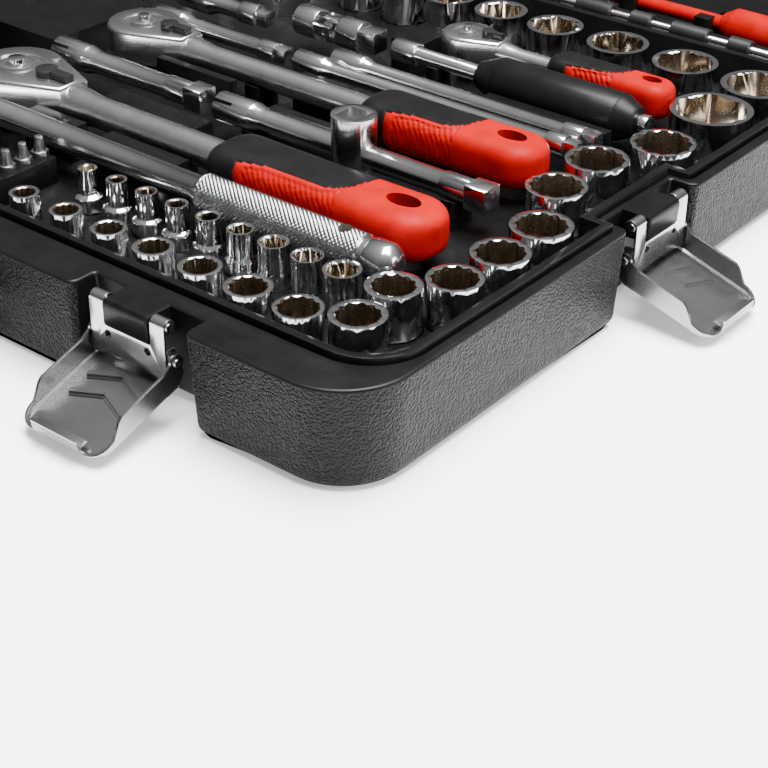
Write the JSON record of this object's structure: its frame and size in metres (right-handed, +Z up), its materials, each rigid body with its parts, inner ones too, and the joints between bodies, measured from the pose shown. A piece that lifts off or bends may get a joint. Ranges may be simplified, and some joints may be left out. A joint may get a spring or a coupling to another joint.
{
  "type": "socket wrench set in case",
  "caption": "Open two-part plastic tool case with draw latches, holding sockets, three ratchets, a breaker bar, extensions and wrenches.",
  "frame": {"origin": "centre of the flat underside of the tray", "axes": "+X to the right along the front, +Y back towards the hinge, +Z up"},
  "size_m": [0.5516, 0.714, 0.058],
  "materials": {
    "case_shell": "pebble grain, black",
    "case_insert": "smooth satin, black",
    "case_handle": "satin, black",
    "pin_steel": "bright drawn steel",
    "latch_steel": "pressed and nickel plated",
    "socket_chrome": "polished",
    "tool_chrome": "satin chrome",
    "grip_black": "satin, dark grey",
    "grip_red": "soft matt, red",
    "gear_steel": "dark machined steel",
    "lever_black": "satin, black"
  },
  "bodies": {
    "tray": {"case_base": "case_shell", "tool_insert": "case_insert", "hinge_pin": "pin_steel", "latch_case_pins": "pin_steel", "handle_pivots": "pin_steel", "bit_rack": "case_insert"},
    "lid": {"lid_shell": "case_shell", "lid_insert": "case_insert", "wrenches": "tool_chrome", "screwdriver": "grip_red"},
    "carry_handle": {"carry_handle": "case_handle"},
    "front_right_link": {"front_right_link": "latch_steel", "front_right_rivets": "pin_steel"},
    "front_right_lever": {"front_right_lever": "latch_steel"},
    "front_left_link": {"front_left_link": "latch_steel", "front_left_rivets": "pin_steel"},
    "front_left_lever": {"front_left_lever": "latch_steel"},
    "right_link": {"right_link": "latch_steel", "right_rivets": "pin_steel"},
    "right_lever": {"right_lever": "latch_steel"},
    "left_link": {"left_link": "latch_steel", "left_rivets": "pin_steel"},
    "left_lever": {"left_lever": "latch_steel"},
    "quarter_sockets": {"quarter_sockets": "socket_chrome"},
    "front_sockets": {"front_sockets": "socket_chrome"},
    "side_sockets": {"side_sockets": "socket_chrome"},
    "back_sockets": {"back_sockets": "socket_chrome"},
    "deep_sockets": {"deep_sockets": "socket_chrome"},
    "breaker_bar": {"breaker_bar": "tool_chrome", "breaker_pin": "pin_steel"},
    "breaker_head": {"breaker_head": "tool_chrome"},
    "half_ratchet": {"half_ratchet_body": "tool_chrome", "half_ratchet_grip": "grip_black", "half_ratchet_inlay": "grip_red", "half_ratchet_screws": "gear_steel"},
    "half_drive": {"half_ratchet_drive": "gear_steel"},
    "half_button": {"half_ratchet_button": "tool_chrome"},
    "half_reverser": {"half_ratchet_lever": "lever_black"},
    "three_ratchet": {"three_ratchet_body": "tool_chrome", "three_ratchet_grip": "grip_black", "three_ratchet_inlay": "grip_red"},
    "three_drive": {"three_ratchet_drive": "gear_steel"},
    "three_button": {"three_ratchet_button": "tool_chrome"},
    "three_reverser": {"three_ratchet_lever": "lever_black"},
    "quarter_ratchet": {"quarter_ratchet_body": "tool_chrome", "quarter_ratchet_grip": "grip_black", "quarter_ratchet_inlay": "grip_red"},
    "quarter_drive": {"quarter_ratchet_drive": "gear_steel"},
    "quarter_button": {"quarter_ratchet_button": "tool_chrome"},
    "quarter_reverser": {"quarter_ratchet_lever": "lever_black"},
    "tee_bar": {"tee_bar": "tool_chrome"},
    "tee_slider": {"tee_slider": "tool_chrome"},
    "long_extension": {"long_extension": "tool_chrome"},
    "thin_extensions": {"thin_extensions": "tool_chrome"},
    "spinner": {"spinner_shank": "tool_chrome", "spinner_handle": "grip_black"},
    "joint_socket_end": {"joint_socket_end": "tool_chrome"},
    "joint_cross": {"joint_cross": "tool_chrome"},
    "joint_drive_end": {"joint_drive_end": "tool_chrome"},
    "bits": {"bits": "gear_steel"}
  },
  "joints": [
    {"name": "lid_hinge", "type": "hinge", "parent": "tray", "child": "lid", "pos_m": [0, 0.1695, 0.0403], "axis": [-1, 0, 0], "range_deg": [-180, 0]},
    {"name": "handle_swing", "type": "hinge", "parent": "tray", "child": "carry_handle", "pos_m": [0, -0.172, 0.022], "axis": [-1, 0, 0], "range_deg": [0, 100]},
    {"name": "front_right_link_swing", "type": "hinge", "parent": "tray", "child": "front_right_link", "pos_m": [0.141, -0.1636, 0.0375], "axis": [-1, 0, 0], "range_deg": [0, 60]},
    {"name": "front_right_lever_swing", "type": "hinge", "parent": "front_right_link", "child": "front_right_lever", "pos_m": [0.141, -0.1631, 0.0245], "axis": [1, 0, 0], "range_deg": [-107, 0]},
    {"name": "front_left_link_swing", "type": "hinge", "parent": "tray", "child": "front_left_link", "pos_m": [-0.141, -0.1636, 0.0375], "axis": [-1, 0, 0], "range_deg": [0, 60]},
    {"name": "front_left_lever_swing", "type": "hinge", "parent": "front_left_link", "child": "front_left_lever", "pos_m": [-0.141, -0.1631, 0.0245], "axis": [1, 0, 0], "range_deg": [-107, 0]},
    {"name": "right_link_swing", "type": "hinge", "parent": "tray", "child": "right_link", "pos_m": [0.2371, 0.012, 0.0375], "axis": [0, -1, 0], "range_deg": [0, 60]},
    {"name": "right_lever_swing", "type": "hinge", "parent": "right_link", "child": "right_lever", "pos_m": [0.2366, 0.012, 0.0245], "axis": [0, 1, 0], "range_deg": [-107, 0]},
    {"name": "left_link_swing", "type": "hinge", "parent": "tray", "child": "left_link", "pos_m": [-0.2371, 0.012, 0.0375], "axis": [0, 1, 0], "range_deg": [0, 60]},
    {"name": "left_lever_swing", "type": "hinge", "parent": "left_link", "child": "left_lever", "pos_m": [-0.2366, 0.012, 0.0245], "axis": [0, -1, 0], "range_deg": [-107, 0]},
    {"name": "lift_quarter_sockets", "type": "slide", "parent": "tray", "child": "quarter_sockets", "axis": [0, 0, 1], "range_m": [0, 0.05]},
    {"name": "lift_front_sockets", "type": "slide", "parent": "tray", "child": "front_sockets", "axis": [0, 0, 1], "range_m": [0, 0.05]},
    {"name": "lift_side_sockets", "type": "slide", "parent": "tray", "child": "side_sockets", "axis": [0, 0, 1], "range_m": [0, 0.06]},
    {"name": "lift_back_sockets", "type": "slide", "parent": "tray", "child": "back_sockets", "axis": [0, 0, 1], "range_m": [0, 0.06]},
    {"name": "lift_deep_sockets", "type": "slide", "parent": "tray", "child": "deep_sockets", "axis": [0, 0, 1], "range_m": [0, 0.06]},
    {"name": "lift_breaker_bar", "type": "slide", "parent": "tray", "child": "breaker_bar", "axis": [0, 0, 1], "range_m": [0, 0.05]},
    {"name": "breaker_head_tilt", "type": "hinge", "parent": "breaker_bar", "child": "breaker_head", "pos_m": [-0.086, -0.0895, 0.042], "axis": [0, 1, 0], "range_deg": [-10, 90]},
    {"name": "lift_half_ratchet", "type": "slide", "parent": "tray", "child": "half_ratchet", "axis": [0, 0, 1], "range_m": [0, 0.05]},
    {"name": "half_drive_spin", "type": "hinge", "parent": "half_ratchet", "child": "half_drive", "pos_m": [-0.028, -0.0635, 0.042], "axis": [0, 0, 1], "continuous": true},
    {"name": "half_button_press", "type": "slide", "parent": "half_drive", "child": "half_button", "axis": [0, 0, -1], "range_m": [0, 0.002], "stiffness_N_per_m": 800},
    {"name": "half_reverser_turn", "type": "hinge", "parent": "half_ratchet", "child": "half_reverser", "pos_m": [-0.00948, -0.0635, 0.042], "axis": [0, 0, 1], "range_deg": [-25, 25]},
    {"name": "lift_three_ratchet", "type": "slide", "parent": "tray", "child": "three_ratchet", "axis": [0, 0, 1], "range_m": [0, 0.05]},
    {"name": "three_drive_spin", "type": "hinge", "parent": "three_ratchet", "child": "three_drive", "pos_m": [-0.025, 0.0075, 0.042], "axis": [0, 0, 1], "continuous": true},
    {"name": "three_button_press", "type": "slide", "parent": "three_drive", "child": "three_button", "axis": [0, 0, -1], "range_m": [0, 0.002], "stiffness_N_per_m": 800},
    {"name": "three_reverser_turn", "type": "hinge", "parent": "three_ratchet", "child": "three_reverser", "pos_m": [-0.00932, 0.0075, 0.042], "axis": [0, 0, 1], "range_deg": [-25, 25]},
    {"name": "lift_quarter_ratchet", "type": "slide", "parent": "tray", "child": "quarter_ratchet", "axis": [0, 0, 1], "range_m": [0, 0.05]},
    {"name": "quarter_drive_spin", "type": "hinge", "parent": "quarter_ratchet", "child": "quarter_drive", "pos_m": [0.09, 0.0925, 0.042], "axis": [0, 0, 1], "continuous": true},
    {"name": "quarter_button_press", "type": "slide", "parent": "quarter_drive", "child": "quarter_button", "axis": [0, 0, -1], "range_m": [0, 0.002], "stiffness_N_per_m": 800},
    {"name": "quarter_reverser_turn", "type": "hinge", "parent": "quarter_ratchet", "child": "quarter_reverser", "pos_m": [0.10093, 0.0925, 0.042], "axis": [0, 0, 1], "range_deg": [-25, 25]},
    {"name": "lift_tee_bar", "type": "slide", "parent": "tray", "child": "tee_bar", "axis": [0, 0, 1], "range_m": [0, 0.05]},
    {"name": "tee_slide", "type": "slide", "parent": "tee_bar", "child": "tee_slider", "axis": [1, 0, 0], "range_m": [-0.035, 0.035]},
    {"name": "lift_long_extension", "type": "slide", "parent": "tray", "child": "long_extension", "axis": [0, 0, 1], "range_m": [0, 0.05]},
    {"name": "lift_thin_extensions", "type": "slide", "parent": "tray", "child": "thin_extensions", "axis": [0, 0, 1], "range_m": [0, 0.05]},
    {"name": "lift_spinner", "type": "slide", "parent": "tray", "child": "spinner", "axis": [0, 0, 1], "range_m": [0, 0.05]},
    {"name": "lift_joint_socket_end", "type": "slide", "parent": "tray", "child": "joint_socket_end", "axis": [0, 0, 1], "range_m": [0, 0.05]},
    {"name": "joint_yaw", "type": "hinge", "parent": "joint_socket_end", "child": "joint_cross", "pos_m": [0.0325, 0.0685, 0.042], "axis": [0, 1, 0], "range_deg": [-30, 15]},
    {"name": "joint_pitch", "type": "hinge", "parent": "joint_cross", "child": "joint_drive_end", "pos_m": [0.0325, 0.0685, 0.042], "axis": [0, 0, 1], "range_deg": [-30, 30]},
    {"name": "lift_bits", "type": "slide", "parent": "tray", "child": "bits", "axis": [0, 0, 1], "range_m": [0, 0.04]}
  ]
}
